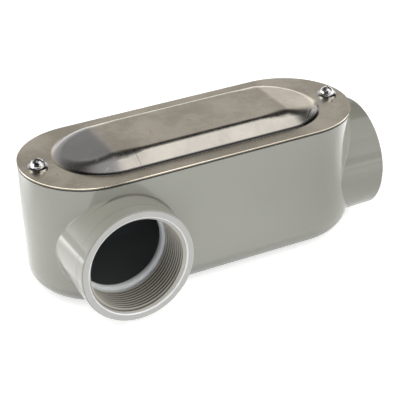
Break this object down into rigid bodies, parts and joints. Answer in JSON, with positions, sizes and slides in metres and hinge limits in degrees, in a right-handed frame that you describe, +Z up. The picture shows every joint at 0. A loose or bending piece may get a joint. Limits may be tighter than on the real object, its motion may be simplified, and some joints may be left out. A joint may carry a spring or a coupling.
{
  "type": "conduit body",
  "caption": "Cast conduit body with threaded hubs at its end and side, a long round-ended trough and a raised screw-down sheet cover.",
  "frame": {"origin": "middle of the flat back, midway between the round ends", "axes": "+X out of the end hub, +Z up through the cover, and the side hub faces -Y"},
  "size_m": [0.2229, 0.1021, 0.088],
  "materials": {
    "cast_body": "light grey semi-gloss enamel on a cast body",
    "gasket": "matt black rubber sheet",
    "cover_sheet": "bare pressed sheet, lightly scuffed",
    "screw": "bright zinc-plated steel"
  },
  "bodies": {
    "root": {"conduit_housing": "cast_body", "cover_gasket": "gasket", "cover_plate": "cover_sheet", "cover_screw_left": "screw", "cover_screw_right": "screw"}
  },
  "joints": []
}
